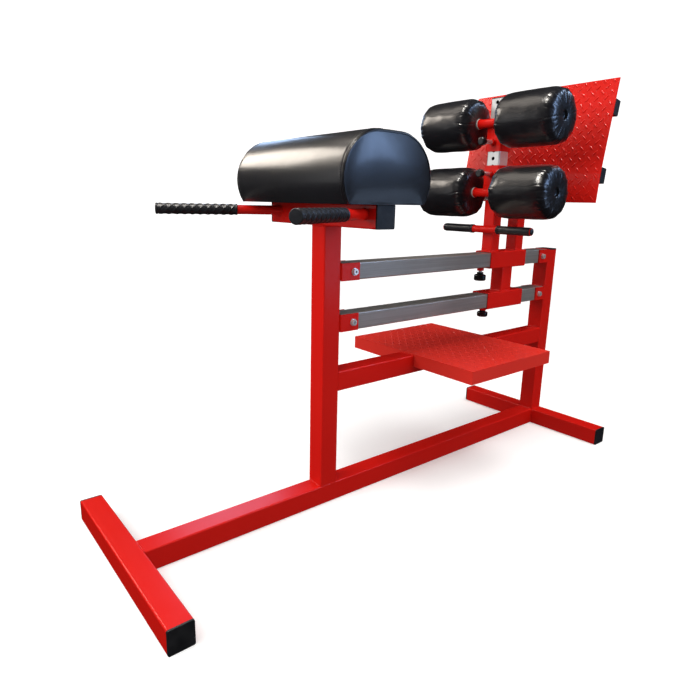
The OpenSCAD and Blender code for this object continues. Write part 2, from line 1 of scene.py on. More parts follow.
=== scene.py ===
"""Looks of the roman chair.

Materials, padded covers, hand grips, tread lugs, weld beads, floor, light and camera.
All lengths in the making of meshes are in millimetres, in the CAD's frame.
"""

import math
import random

import bpy
import numpy as np
from mathutils import Matrix, Vector, noise
from mathutils.bvhtree import BVHTree


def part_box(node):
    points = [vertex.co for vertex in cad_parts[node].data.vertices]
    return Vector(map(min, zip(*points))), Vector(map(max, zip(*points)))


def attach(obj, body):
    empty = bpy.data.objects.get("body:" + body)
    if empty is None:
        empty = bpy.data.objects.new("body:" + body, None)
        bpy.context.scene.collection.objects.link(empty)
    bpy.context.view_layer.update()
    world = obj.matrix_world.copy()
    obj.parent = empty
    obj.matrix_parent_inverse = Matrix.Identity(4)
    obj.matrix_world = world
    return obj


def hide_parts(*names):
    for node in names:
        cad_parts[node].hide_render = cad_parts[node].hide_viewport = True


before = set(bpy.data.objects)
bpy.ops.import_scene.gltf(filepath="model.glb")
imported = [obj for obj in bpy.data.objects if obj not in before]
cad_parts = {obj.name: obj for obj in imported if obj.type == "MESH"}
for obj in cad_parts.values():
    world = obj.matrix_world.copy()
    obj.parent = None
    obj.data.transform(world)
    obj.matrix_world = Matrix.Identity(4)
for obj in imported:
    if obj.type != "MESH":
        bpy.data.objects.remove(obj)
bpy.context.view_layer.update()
scene = bpy.context.scene
scene.view_settings.view_transform = "Standard"
MM = 0.001


def box(node):
    """Lowest and highest corner of a CAD node in millimetres."""
    lo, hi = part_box(node)
    return lo / MM, hi / MM


# ------------------------------------------------------------------ camera
def make_camera():
    data = bpy.data.cameras.new("camera")
    data.lens = 28.815
    data.sensor_width = 36.0
    data.shift_x = 0.02583
    data.shift_y = -0.02558
    data.clip_end = 60.0
    camera = bpy.data.objects.new("camera", data)
    scene.collection.objects.link(camera)
    right = Vector((0.78502074, -0.61918788, 0.01867656))
    up = Vector((0.12747997, 0.19097914, 0.97328096))
    back = Vector((-0.6062106, -0.76166485, 0.22885664))
    rotation = Matrix((right, up, back)).transposed().to_4x4()
    camera.matrix_world = Matrix.Translation((-1.22165, -1.24210, 0.89716)) @ rotation
    scene.camera = camera


make_camera()


# --------------------------------------------------------------- materials
class Paint:
    """A Principled material with procedural inputs, in object coordinates."""

    def __init__(self, name, **sockets):
        self.material = bpy.data.materials.new(name)
        self.material.use_nodes = True
        self.tree = self.material.node_tree
        self.bsdf = self.tree.nodes["Principled BSDF"]
        self.coords = self.add("ShaderNodeTexCoord").outputs["Object"]
        for key, value in sockets.items():
            self.bsdf.inputs[key.replace("_", " ")].default_value = value

    def add(self, kind, **inputs):
        node = self.tree.nodes.new(kind)
        for key, value in inputs.items():
            self.set(node.inputs[key.replace("_", " ")], value)
        return node

    def set(self, socket, value):
        if isinstance(value, bpy.types.NodeSocket):
            self.tree.links.new(value, socket)
        else:
            socket.default_value = value

    def stretched(self, scale):
        return self.add("ShaderNodeMapping", Vector=self.coords, Scale=scale).outputs[0]

    def noise(self, scale, detail=3.0, rough=0.55, stretch=None, distort=0.0):
        vector = self.stretched(stretch) if stretch else self.coords
        return self.add(
            "ShaderNodeTexNoise",
            Vector=vector,
            Scale=scale,
            Detail=detail,
            Roughness=rough,
            Distortion=distort,
        ).outputs[0]

    def cells(self, scale):
        node = self.add("ShaderNodeTexVoronoi", Vector=self.coords, Scale=scale)
        return node.outputs["Distance"]

    def ramp(self, value, stops):
        """Colours or numbers at positions along a value."""
        node = self.add("ShaderNodeValToRGB", Fac=value)
        elements = node.color_ramp.elements
        while len(elements) < len(stops):
            elements.new(0.5)
        for element, (place, colour) in zip(elements, stops):
            element.position = place
            if not hasattr(colour, "__len__"):
                colour = (colour,) * 3
            element.color = (*colour, 1.0)
        return node.outputs[0]

    def mix(self, share, a, b):
        node = self.tree.nodes.new("ShaderNodeMix")
        node.data_type = "RGBA"
        self.set(node.inputs[0], share)
        for socket, value in ((node.inputs[6], a), (node.inputs[7], b)):
            if not isinstance(value, bpy.types.NodeSocket):
                value = (*value, 1.0)
            self.set(socket, value)
        return node.outputs[2]

    def math(self, operation, a, b=0.0):
        node = self.tree.nodes.new("ShaderNodeMath")
        node.operation = operation
        self.set(node.inputs[0], a)
        self.set(node.inputs[1], b)
        return node.outputs[0]

    def bumps(self, *layers):
        """Stack of (height, distance in metres, strength) bumps."""
        normal = None
        for height, distance, strength in layers:
            node = self.add(
                "ShaderNodeBump", Height=height, Distance=distance, Strength=strength
            )
            if normal:
                self.tree.links.new(normal, node.inputs["Normal"])
            normal = node.outputs[0]
        self.tree.links.new(normal, self.bsdf.inputs["Normal"])

    def finish(self, colour, roughness=None):
        self.set(self.bsdf.inputs["Base Color"], colour)
        if roughness is not None:
            self.set(self.bsdf.inputs["Roughness"], roughness)
        return self.material


# colour of the lighter speckles: partly dust, partly painted glints
SPECK_DUST_AND_GLINT_COLOUR = (0.80, 0.20, 0.16)


def powder_coat(name, lit, deep, dust_and_glint_share, rough_low):
    """Glossy powder coat: orange peel, faint clouding, and lighter speckles that are partly
    dust and partly painted glints.
    """
    p = Paint(name, Specular_IOR_Level=0.27)
    cloud = p.ramp(p.noise(4.0, 1.5), [(0.30, deep), (0.70, lit)])
    # lighter speckles over the coat: dust and painted glints
    dust_and_glint_specks = p.ramp(p.noise(420.0, 2.0, 0.6), [(0.76, 0.0), (0.84, dust_and_glint_share)])
    colour = p.mix(dust_and_glint_specks, cloud, SPECK_DUST_AND_GLINT_COLOUR)
    rough = p.ramp(p.noise(22.0, 1.0), [(0.25, rough_low), (0.75, rough_low + 0.03)])
    orange_peel, waviness = p.noise(330.0, 2.0, 0.4), p.noise(18.0, 1.0)
    p.bumps((orange_peel, 0.0003, 0.08), (waviness, 0.002, 0.04))
    return p.finish(colour, rough)


def black_vinyl(name, grain, sheen):
    """Leather-grained vinyl with a soft gloss."""
    p = Paint(
        name,
        Specular_IOR_Level=0.5,
        Sheen_Weight=sheen,
        Sheen_Roughness=0.4,
        Coat_Weight=0.4,
        Coat_Roughness=0.16,
    )
    colour = p.ramp(
        p.noise(7.0, 5.0), [(0.3, (0.005, 0.005, 0.0065)), (0.75, (0.010, 0.010, 0.013))]
    )
    pores = p.ramp(p.cells(grain), [(0.0, 0.0), (0.55, 1.0)])
    # the grain's pores are darkened: painted shade in their hollows
    colour = p.mix(p.ramp(pores, [(0.0, 0.35), (0.4, 0.0)]), colour, (0.004, 0.004, 0.005))
    rough = p.ramp(p.noise(45.0, 4.0), [(0.25, 0.285), (0.8, 0.38)])
    p.bumps((pores, 0.0002, 0.35), (p.noise(900.0, 2.0), 0.0001, 0.3))
    return p.finish(colour, rough)


def rubber(name, dark, light, rough_low):
    p = Paint(name, Specular_IOR_Level=0.5)
    colour = p.ramp(p.noise(30.0, 5.0), [(0.3, dark), (0.75, light)])
    rough = p.ramp(p.noise(120.0, 4.0), [(0.3, rough_low), (0.7, rough_low + 0.15)])
    p.bumps((p.noise(1400.0, 3.0), 0.0001, 0.5))
    return p.finish(colour, rough)


def rolled_steel():
    """Bare rail steel: drawn streaks, oil tint and faint slide marks."""
    p = Paint("rail_steel", Metallic=0.6)
    streaks = p.noise(1.0, 4.0, 0.6, (3.0, 420.0, 420.0))
    oil = p.noise(3.2, 5.0, 0.6, (0.7, 1.0, 1.0))
    colour = p.ramp(streaks, [(0.25, (0.30, 0.285, 0.27)), (0.8, (0.50, 0.485, 0.47))])
    colour = p.mix(p.ramp(oil, [(0.40, 0.0), (0.75, 0.55)]), colour, (0.25, 0.20, 0.16))
    rough = p.ramp(streaks, [(0.2, 0.285), (0.8, 0.42)])
    p.bumps((streaks, 0.0002, 0.25), (p.noise(14.0, 3.0), 0.001, 0.08))
    return p.finish(colour, rough)


def plated(name, dark, light, rough_low, metallic=1.0):
    p = Paint(name, Metallic=metallic)
    spangle = p.noise(160.0, 4.0)
    colour = p.ramp(spangle, [(0.3, dark), (0.7, light)])
    rough = p.ramp(p.noise(40.0, 4.0), [(0.3, rough_low), (0.75, rough_low + 0.08)])
    p.bumps((p.noise(700.0, 2.0), 0.0001, 0.2))
    return p.finish(colour, rough)


def moulded(name, dark, light, rough_low):
    """Moulded plastic with a fine spark-eroded texture."""
    p = Paint(name, Specular_IOR_Level=0.45)
    colour = p.ramp(p.noise(40.0, 5.0), [(0.3, dark), (0.75, light)])
    rough = p.ramp(p.noise(90.0, 3.0), [(0.3, rough_low), (0.7, rough_low + 0.12)])
    p.bumps((p.noise(1100.0, 3.0), 0.00015, 0.4))
    return p.finish(colour, rough)


def birch_ply():
    p = Paint("plywood", Specular_IOR_Level=0.3)
    layers = p.noise(1.0, 1.0, 0.5, (4.0, 4.0, 420.0))
    plies = p.ramp(layers, [(0.42, (0.30, 0.17, 0.08)), (0.55, (0.60, 0.42, 0.24))])
    grain = p.noise(1.0, 6.0, 0.65, (180.0, 9.0, 40.0), 0.6)
    colour = p.mix(p.ramp(grain, [(0.35, 0.0), (0.8, 0.5)]), plies, (0.40, 0.25, 0.13))
    p.bumps((grain, 0.0003, 0.4))
    return p.finish(colour, p.ramp(grain, [(0.2, 0.55), (0.8, 0.75)]))


HEIGHT_WALL = 1.2          # depth at which the inside of the height tube begins


def height_steel():
    """Bright plated tube whose inside is made rough and painted dark: painted shade in the
    tube's hollow.
    """
    p = Paint("bright_steel", Metallic=0.6)
    lo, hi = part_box("height_tube")
    mid_x, half = (lo.x + hi.x) / 2, (hi.x - lo.x) / 2
    spangle = p.noise(160.0, 4.0)
    colour = p.ramp(spangle, [(0.3, (0.74, 0.735, 0.72)), (0.7, (0.84, 0.835, 0.82))])
    across = p.add("ShaderNodeSeparateXYZ", Vector=p.coords)
    shifted = p.math("SUBTRACT", across.outputs[0], mid_x)
    out = p.math("MAXIMUM", p.math("ABSOLUTE", shifted), p.math("ABSOLUTE", across.outputs[1]))
    inside = p.math("LESS_THAN", out, half - HEIGHT_WALL * MM)
    # inside the tube the colour is near black: painted shade in its hollow
    colour = p.mix(inside, colour, (0.03, 0.026, 0.024))
    rough = p.ramp(p.noise(40.0, 4.0), [(0.3, 0.16), (0.75, 0.26)])
    p.bumps((p.noise(700.0, 2.0), 0.0001, 0.2))
    return p.finish(colour, p.mix(inside, rough, (0.8, 0.8, 0.8)))


M = {
    "red_paint": powder_coat(
        "red_paint", (0.63, 0.0095, 0.0055), (0.60, 0.0080, 0.0048), dust_and_glint_share=0.12, rough_low=0.235
    ),
    # the frame's red made brighter for the foot plate: painted light standing in for how the
    # plate is lit
    "tread_paint": powder_coat(
        "tread_paint", (0.72, 0.0150, 0.0100), (0.68, 0.0130, 0.0085), dust_and_glint_share=0.15, rough_low=0.22
    ),
    # the frame's red made lighter and pinker for the step tray, with more lighter speckles: a
    # painted sheen and painted glints
    "tray_paint": powder_coat(
        "tray_paint", (0.74, 0.034, 0.023), (0.70, 0.031, 0.021), dust_and_glint_share=0.4, rough_low=0.285
    ),
    "plug_plastic": moulded("plug_plastic", (0.008, 0.008, 0.009), (0.018, 0.018, 0.020), 0.45),
    "knob_plastic": moulded("knob_plastic", (0.006, 0.006, 0.007), (0.014, 0.014, 0.015), 0.12),
    "slide_nylon": moulded("slide_nylon", (0.03, 0.03, 0.032), (0.06, 0.06, 0.062), 0.40),
    "rail_steel": rolled_steel(),
    "zinc_steel": plated("zinc_steel", (0.66, 0.66, 0.67), (0.80, 0.80, 0.81), 0.18, 0.6),
    "pin_steel": plated("pin_steel", (0.66, 0.66, 0.67), (0.80, 0.80, 0.81), 0.16, 0.7),
    "bright_steel": height_steel(),
    "plywood": birch_ply(),
    "pad_vinyl": black_vinyl("pad_vinyl", 620.0, 0.05),
    "roller_vinyl": black_vinyl("roller_vinyl", 700.0, 0.03),
    "core_nylon": moulded("core_nylon", (0.66, 0.65, 0.61), (0.78, 0.77, 0.74), 0.35),
    "grip_rubber": rubber("grip_rubber", (0.010, 0.011, 0.013), (0.022, 0.023, 0.027), 0.285),
}
THREAD = rubber("stitch_thread", (0.020, 0.020, 0.022), (0.045, 0.045, 0.050), 0.55)

SLOTS = {
    "tread_paint": ["foot_plate"],
    "tray_paint": ["step_tray"],
    "plug_plastic": ["square_plugs", "plate_cross_plugs", "height_tube_cap",
                     "plate_upright_cap"],
    "knob_plastic": ["carriage_pin_knob", "clamp_knob", "upper_pin_knob", "lower_pin_knob"],
    "slide_nylon": ["slide_bushes"],
    "rail_steel": ["upper_rail", "lower_rail"],
    "zinc_steel": ["rail_bolts", "rail_washers", "rail_nuts", "pad_bolts",
                   "upper_axle_nuts", "lower_axle_nuts"],
    "pin_steel": ["carriage_pin", "clamp_screw", "upper_pin", "lower_pin",
                  "upper_axle", "lower_axle"],
    "bright_steel": ["height_tube"],
    "plywood": ["pad_board"],
    "pad_vinyl": ["pad_cushion"],
    "roller_vinyl": ["upper_left_roller", "upper_right_roller",
                     "lower_left_roller", "lower_right_roller"],
    "core_nylon": ["upper_left_core", "upper_right_core",
                   "lower_left_core", "lower_right_core"],
    "grip_rubber": ["grip_sleeves", "hand_bar_grips"],
}


def paint_cad():
    slot_of = {n: slot for slot, names in SLOTS.items() for n in names}
    for name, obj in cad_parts.items():
        if not obj.data.materials:
            obj.data.materials.append(None)
        for holder in obj.material_slots:
            holder.material = M[slot_of.get(name, "red_paint")]


paint_cad()


# ------------------------------------------------------------ mesh helpers
def make(name, verts, faces, slot, material=None):
    """New smooth mesh object from points in millimetres."""
    mesh = bpy.data.meshes.new(name)
    mesh.from_pydata([tuple(c * MM for c in v) for v in verts], [], faces)
    mesh.validate()
    mesh.materials.append(material or M[slot])
    mesh.polygons.foreach_set("use_smooth", [True] * len(mesh.polygons))
    obj = bpy.data.objects.new(name, mesh)
    scene.collection.objects.link(obj)
    return obj


def rings_to_mesh(rings, start=None, end=None):
    """Points and outward faces for closed rings, with a point closing each given end."""
    n = len(rings[0])
    verts = [tuple(p) for ring in rings for p in ring]
    faces = []
    for i in range(len(rings) - 1):
        a, b = i * n, (i + 1) * n
        for j in range(n):
            k = (j + 1) % n
            faces.append((a + j, a + k, b + k, b + j))
    for point, base, flip in ((start, 0, True), (end, (len(rings) - 1) * n, False)):
        if point is None:
            continue
        verts.append(tuple(point))
        top = len(verts) - 1
        for j in range(n):
            k = (j + 1) % n
            faces.append((top, base + k, base + j) if flip else (top, base + j, base + k))
    return verts, faces


def joined(parts):
    """One list of points and faces from several."""
    verts, faces = [], []
    for v, f in parts:
        base = len(verts)
        verts += v
        faces += [tuple(base + i for i in face) for face in f]
    return verts, faces


def turned(profile, origin, axis, segments, relief=None):
    """Surface turned about an axis. profile is (along, radius) from pole to pole."""
    axis = Vector(axis).normalized()
    side = axis.orthogonal().normalized()
    other = axis.cross(side)
    origin = Vector(origin)

    def point(along, radius, angle):
        if relief:
            radius += relief(along, angle)
        outward = side * math.cos(angle) + other * math.sin(angle)
        return origin + axis * along + outward * radius

    angles = [2 * math.pi * j / segments for j in range(segments)]
    rings = [[point(a, r, t) for t in angles] for a, r in profile[1:-1]]
    poles = [origin + axis * profile[i][0] for i in (0, -1)]
    return rings_to_mesh(rings, poles[0], poles[1])


def spread(a, b, step):
    """Evenly spaced numbers from a to b, both included, about step apart."""
    n = max(1, round(abs(b - a) / step))
    return [a + (b - a) * i / n for i in range(n + 1)]


# --------------------------------------------------------------- soft goods
def relax(obj, moves, held, rounds):
    """Average each point's move with its neighbours', leaving held points alone."""
    edges = np.empty(len(obj.data.edges) * 2, dtype=np.int64)
    obj.data.edges.foreach_get("vertices", edges)
    a, b = edges.reshape(-1, 2).T
    count = np.bincount(edges, minlength=len(moves))[:, None]
    free = np.ones(len(moves), dtype=bool)
    free[list(held)] = False
    for _ in range(rounds):
        total = np.zeros_like(moves)
        np.add.at(total, a, moves[b])
        np.add.at(total, b, moves[a])
        moves[free] = (0.5 * moves + 0.5 * total / count)[free]
    return moves


PRESSURE = 4.0             # stuffing pressure in the cloth simulation
FRAMES = 20


def inflate(obj, held, cap, bending, rounds):
    """Swell a closed cover under pressure, as stuffing does, moving no point past cap."""
    rest = [v.co.copy() for v in obj.data.vertices]
    group = obj.vertex_groups.new(name="held")
    for index, weight in held.items():
        group.add([index], weight, "REPLACE")
    cloth = obj.modifiers.new("swell", "CLOTH")
    settings = cloth.settings
    settings.quality = 5
    settings.mass = 0.3
    settings.tension_stiffness = 15
    settings.compression_stiffness = 15
    settings.shear_stiffness = 8
    settings.bending_stiffness = bending
    settings.vertex_group_mass = "held"
    settings.use_pressure = True
    settings.uniform_pressure_force = PRESSURE
    settings.effector_weights.gravity = 0
    cloth.collision_settings.use_collision = False
    cloth.point_cache.frame_start = 1
    cloth.point_cache.frame_end = FRAMES
    for f in range(1, FRAMES + 1):
        scene.frame_set(f)
    graph = bpy.context.evaluated_depsgraph_get()
    swollen = [v.co.copy() for v in obj.evaluated_get(graph).data.vertices]
    obj.modifiers.remove(cloth)
    obj.vertex_groups.remove(group)
    moves = np.array([new - old for old, new in zip(rest, swollen)])
    length = np.maximum(np.linalg.norm(moves, axis=1), 1e-9)[:, None]
    moves *= np.minimum(1.0, cap * MM / length)
    for vertex, old, move in zip(obj.data.vertices, rest, relax(obj, moves, held, rounds)):
        vertex.co = old + Vector(move)
    scene.frame_set(1)


def subdivide(obj):
    """Bake one level of subdivision into the mesh."""
    modifier = obj.modifiers.new("fine", "SUBSURF")
    modifier.levels = modifier.render_levels = 1
    graph = bpy.context.evaluated_depsgraph_get()
    mesh = bpy.data.meshes.new_from_object(obj.evaluated_get(graph))
    obj.modifiers.remove(modifier)
    obj.data = mesh
    mesh.polygons.foreach_set("use_smooth", [True] * len(mesh.polygons))


PAD_ROUND = 110.0          # radius of the pad's long upper edges
PAD_WRAP = 1.2             # how far the vinyl wraps below the board
PAD_INSET = 1.0            # start size of the cover inside the solid
PAD_EDGE = 6.0             # rounding at the seam of each end panel
PAD_HUB_Z = 965.0          # height of the point that an end panel's rings close on
PAD_DOME = 7.0             # bulge of the end panels
DOME_FADE = 16.0           # how fast the bulge rises from the seam
PAD_CROWN, PAD_REAR = 3.5, 5.0     # how far the stuffing stands proud on top and behind


def pad_outline(inset, step=5.0):
    """Half-round pad outline, (x, z) from the rear lower edge over the top to the front."""
    lo, hi = box("pad_cushion")
    mid = (lo.x + hi.x) / 2
    flat = (hi.x - lo.x) / 2 - PAD_ROUND
    mid_z = hi.z - PAD_ROUND
    r = PAD_ROUND - inset
    low = math.asin((mid_z - lo.z + PAD_WRAP) / r)
    n = round((math.pi / 2 + 0.57) * PAD_ROUND / step)
    arc = [-low + (math.pi / 2 + low) * i / n for i in range(n + 1)]
    rear = [(mid + flat + r * math.cos(t), mid_z + r * math.sin(t)) for t in arc]
    front = [(2 * mid - x, z) for x, z in reversed(rear)]
    top = [(x, hi.z - inset) for x in spread(rear[-1][0], front[0][0], step)][1:-1]
    return rear + top + front


def dome_ends(pad, mid, end_y):
    """Give the two end panels an even bulge that dies out at their seams."""
    lo, hi = box("pad_cushion")
    mid_z = (lo.z + hi.z) / 2
    half_x = (hi.x - lo.x) / 2 - PAD_INSET - PAD_EDGE
    half_z = (hi.z - lo.z) / 2 - 4.0
    outline = np.array(pad_outline(PAD_INSET + PAD_EDGE))
    for v in pad.data.vertices:
        x, y, z = v.co / MM
        if abs(y) < end_y - 0.8:
            continue
        gap = float(np.min(np.hypot(outline[:, 0] - x, outline[:, 1] - z)))
        gap = min(gap, max(0.0, z - lo.z))
        rise = 1 - math.exp(-gap / DOME_FADE)
        across = max(0.0, 1 - ((x - mid) / half_x) ** 2)
        up = max(0.0, 1 - ((z - mid_z) / half_z) ** 2)
        swell = 0.35 + 0.65 * across * up
        v.co.y = math.copysign(end_y + PAD_DOME * rise * swell, y) * MM


def make_pad():
    lo, hi = box("pad_cushion")
    mid = (lo.x + hi.x) / 2
    end_y = hi.y - PAD_INSET
    seam_y = end_y - 1.5

    def ring(y, inset, shrink=1.0):
        arch = pad_outline(inset)
        (x0, z0), (x1, _) = arch[0], arch[-1]
        steps = [x1 + 1.0, *(x1 + (x0 - x1) * k / 40 for k in range(1, 40)), x0 - 1.0]
        arch[:1] = [(x0, z0), (x0 + 0.6, z0 + 1.0)]
        arch[-1:] = [(x1 - 0.6, z0 + 1.0), (x1, z0)]
        base = [(x, z0) for x in steps]
        hub = Vector((mid, PAD_HUB_Z))
        return [
            (hub.x + (x - hub.x) * shrink, y, hub.y + (z - hub.y) * shrink)
            for x, z in arch + base
        ]

    def inset_at(y):
        past = max(0.0, abs(y) - (end_y - PAD_EDGE))
        round_in = PAD_EDGE - math.sqrt(max(0.0, PAD_EDGE * PAD_EDGE - past * past))
        return PAD_INSET + round_in

    quarter = [end_y - PAD_EDGE * (1 - math.sin(t)) for t in spread(0, math.pi / 2, 0.4)]
    body = spread(-(end_y - PAD_EDGE), end_y - PAD_EDGE, 6.5)
    ys = [-y for y in reversed(quarter[1:])] + body + quarter[1:]
    rings = [ring(y, min(inset_at(y), PAD_INSET + PAD_EDGE)) for y in ys]
    shrinks = [0.965, 0.92, 0.86, 0.79, 0.71, 0.62, 0.53, 0.44, 0.35, 0.26, 0.17, 0.08]
    caps = [ring(end_y, PAD_INSET + PAD_EDGE, s) for s in shrinks]
    near = [[(x, -y, z) for x, y, z in c] for c in reversed(caps)]
    rings = near + rings + caps
    poles = [(mid, s * end_y, PAD_HUB_Z) for s in (-1, 1)]
    # the outline runs rear to front, so rings along +Y face outwards when reversed
    rings = [list(reversed(r)) for r in rings]
    verts, faces = rings_to_mesh(rings, poles[0], poles[1])
    pad = make("hip_pad", verts, faces, "pad_vinyl")

    base_z = (lo.z + 0.6) * MM
    held = {}
    for v in pad.data.vertices:
        seam = abs(abs(v.co.y) - seam_y * MM) < 2.6 * MM
        rim = (Vector((v.co.x, v.co.z)) - Vector((mid, PAD_HUB_Z)) * MM).length > 0.07
        panel = abs(v.co.y) > (end_y - 0.5) * MM
        if v.co.z < base_z or panel or (seam and rim):
            held[v.index] = 1.0
    inflate(pad, held, cap=3.5, bending=2.0, rounds=40)
    dome_ends(pad, mid, end_y)
    for v in pad.data.vertices:                  # the stuffing stands proud, most at the rear
        up = max(0.0, (v.co.z / MM - lo.z) / (hi.z - lo.z))
        back = max(0.0, (v.co.x / MM - mid) / (hi.x - mid))
        v.co.z += PAD_CROWN * MM * up * up
        v.co.x += PAD_REAR * MM * back * back * min(1.0, 4 * up)
    subdivide(pad)

    # puckers beside each seam, a groove on it and slack undulation between
    normals = [v.normal.copy() for v in pad.data.vertices]
    for v, n in zip(pad.data.vertices, normals):
        x, y, z = v.co / MM
        if z < lo.z + 2.0:
            continue
        body = max(0.0, 1.0 - n.y * n.y * 1.6)
        away = abs(abs(y) - (end_y - 7.0))
        along = math.atan2(x - mid, z - 940.0) * 118.0
        pucker = 0.5 * math.exp(-((away / 11.0) ** 2)) * math.sin(
            along / 6.1 + 1.9 * math.sin(along / 23.0 + y)
        )
        sag = 0.35 * math.sin(y / 58.0 + x / 71.0) * math.cos(along / 49.0 + y / 150.0)
        groove = -1.1 * math.exp(-((away / 2.4) ** 2))
        bulge = (1 - body) * 0.5 * math.sin(x / 33.0 + 0.7) * math.sin(z / 29.0)
        v.co += n * ((pucker + groove + sag) * body + bulge) * MM
    pad.data.update()
    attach(pad, "floor_frame")
    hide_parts("pad_cushion")
    add_pad_seams(pad, end_y)
    return pad


def surface_path(tree, points, lift):
    """Points moved onto a surface and lifted off it, with the surface normals."""
    out = []
    for p in points:
        place, normal, _, _ = tree.find_nearest(Vector(p) * MM)
        out.append((place / MM + normal * lift, normal))
    return out


def tube_along(path, radius, sides=8):
    """Round tube with closed ends along points in millimetres."""
    rings = []
    side = None
    for i, p in enumerate(path):
        ahead = path[min(i + 1, len(path) - 1)] - path[max(i - 1, 0)]
        ahead.normalize()
        side = ahead.orthogonal() if side is None else side - ahead * side.dot(ahead)
        side.normalize()
        other = ahead.cross(side)
        r = radius(i) if callable(radius) else radius
        rings.append([
            p + (side * math.cos(t) + other * math.sin(t)) * r
            for t in (2 * math.pi * k / sides for k in range(sides))
        ])
    return rings_to_mesh(rings, path[0], path[-1])


STITCH, STITCH_IN = 5.6, 11.0      # stitch pitch, and its distance in from the end


def add_pad_seams(pad, end_y):
    """Piping round each end panel and a row of stitches beside it."""
    tree = BVHTree.FromPolygons(
        [v.co.copy() for v in pad.data.vertices],
        [tuple(p.vertices) for p in pad.data.polygons],
    )
    piping, stitches = [], []
    for s in (-1, 1):
        arch = pad_outline(4.0, 3.0)
        line = surface_path(tree, [(x, s * (end_y - 0.6), z) for x, z in arch], -0.2)
        piping.append(tube_along([p for p, _ in line], 1.7))
        arch = pad_outline(2.5, STITCH)
        sewn_y = s * (end_y - STITCH_IN)
        line = surface_path(tree, [(x, sewn_y, z) for x, z in arch[1:-1]], 0.1)
        for (a, na), (b, nb) in zip(line, line[1:]):
            p0, p1 = a.lerp(b, 0.12), a.lerp(b, 0.84)
            mid = (p0 + p1) / 2 + (na + nb) * 0.22
            stitches.append(tube_along([p0, mid, p1], 0.5, 6))
    seam = make("pad_piping", *joined(piping), "pad_vinyl")
    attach(seam, "floor_frame")
    thread = make("pad_stitching", *joined(stitches), "pad_vinyl", THREAD)
    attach(thread, "floor_frame")


ROLLER_EDGE = 24.0         # rounding of a roller's ends
FOLDS = 13                 # gathers round each end
HUB_R = 13.0               # recess in the middle of a roller's outer face
START = -0.8               # where the shoulder leaves the end face


def roller_profile(length, radius):
    """(along, radius) of the cover from its hidden inner pole to the outer recess."""
    flat_r = radius - ROLLER_EDGE

    def face(pairs):
        fine = []
        for (a0, r0), (a1, r1) in zip(pairs, pairs[1:]):
            n = max(1, round(math.hypot(a1 - a0, r1 - r0) / 3.4))
            fine += [(a0 + (a1 - a0) * i / n, r0 + (r1 - r0) * i / n) for i in range(n)]
        return fine

    inner = face([(5.0, 5.0), (3.0, 15.2), (-0.6, 16.6), (-2.2, 20.0),
                  (-2.6, 30.0), (-2.2, 45.0), (START, flat_r)])
    outer = face([(7.0, 5.0), (6.6, HUB_R - 1.5), (0.4, HUB_R), (-1.6, HUB_R + 2.5),
                  (-2.8, 24.0), (-2.8, 36.0), (-2.0, 48.0), (START, flat_r)])
    shoulder = [
        (START + (ROLLER_EDGE - START) * (1 - math.cos(t)),
         flat_r + (ROLLER_EDGE - 0.8) * math.sin(t))
        for t in spread(0.0, math.pi / 2, 0.11)
    ]
    barrel = [
        (a, radius - 0.8 + 0.8 * math.sin(math.pi * a / length))
        for a in spread(ROLLER_EDGE, length - ROLLER_EDGE, 4.2)[1:-1]
    ]
    return inner + shoulder + barrel + [(length - a, r) for a, r in reversed(outer + shoulder)]


def gathers(rng):
    """Angle, length and depth of each gather round one end."""
    return sorted(
        (2 * math.pi * (k + rng.uniform(-0.25, 0.25)) / FOLDS,
         rng.uniform(7.0, 19.0), rng.uniform(0.8, 1.9))
        for k in range(FOLDS)
    )


def end_share(depth_in, r):
    """How strongly the gathers shape the cover: most on the shoulder of an end."""
    along = math.exp(-((max(0.0, depth_in - 9.0) / 17.0) ** 2))
    return along * min(1.0, max(0.0, (r - 26.0) / 34.0))


def facet(angle, folds):
    """How far the flat between two gathers sits inside the circle through them."""
    for k, (start, _, _) in enumerate(folds):
        width = (folds[(k + 1) % len(folds)][0] - start) % (2 * math.pi)
        inside = (angle - start) % (2 * math.pi)
        if inside < width:
            return 1 - math.cos(width / 2) / math.cos(inside - width / 2)
    return 0.0


def crease(angle, r, depth_in, folds):
    """Depth of the short sharp creases beside the gathers."""
    deep = 0.0
    for k, (start, reach, depth) in enumerate(folds):
        for side, share in ((0.06, 1.0), (-0.16, 0.55)):
            slant = 0.0022 * (depth_in - 8.0) * (1 if k % 3 else -1)
            off = (angle - start - side - slant + math.pi) % (2 * math.pi) - math.pi
            across = off * r / 2.3
            if abs(across) < 3:
                run = math.exp(-(((depth_in - 12.0) / (reach * share + 5.0)) ** 2))
                deep = max(deep, depth * share * run * math.exp(-across * across))
    return deep


ROLLER_SEGMENTS = 132
FACET_DEPTH = 1.15         # flattening between gathers, 1 is a straight chord


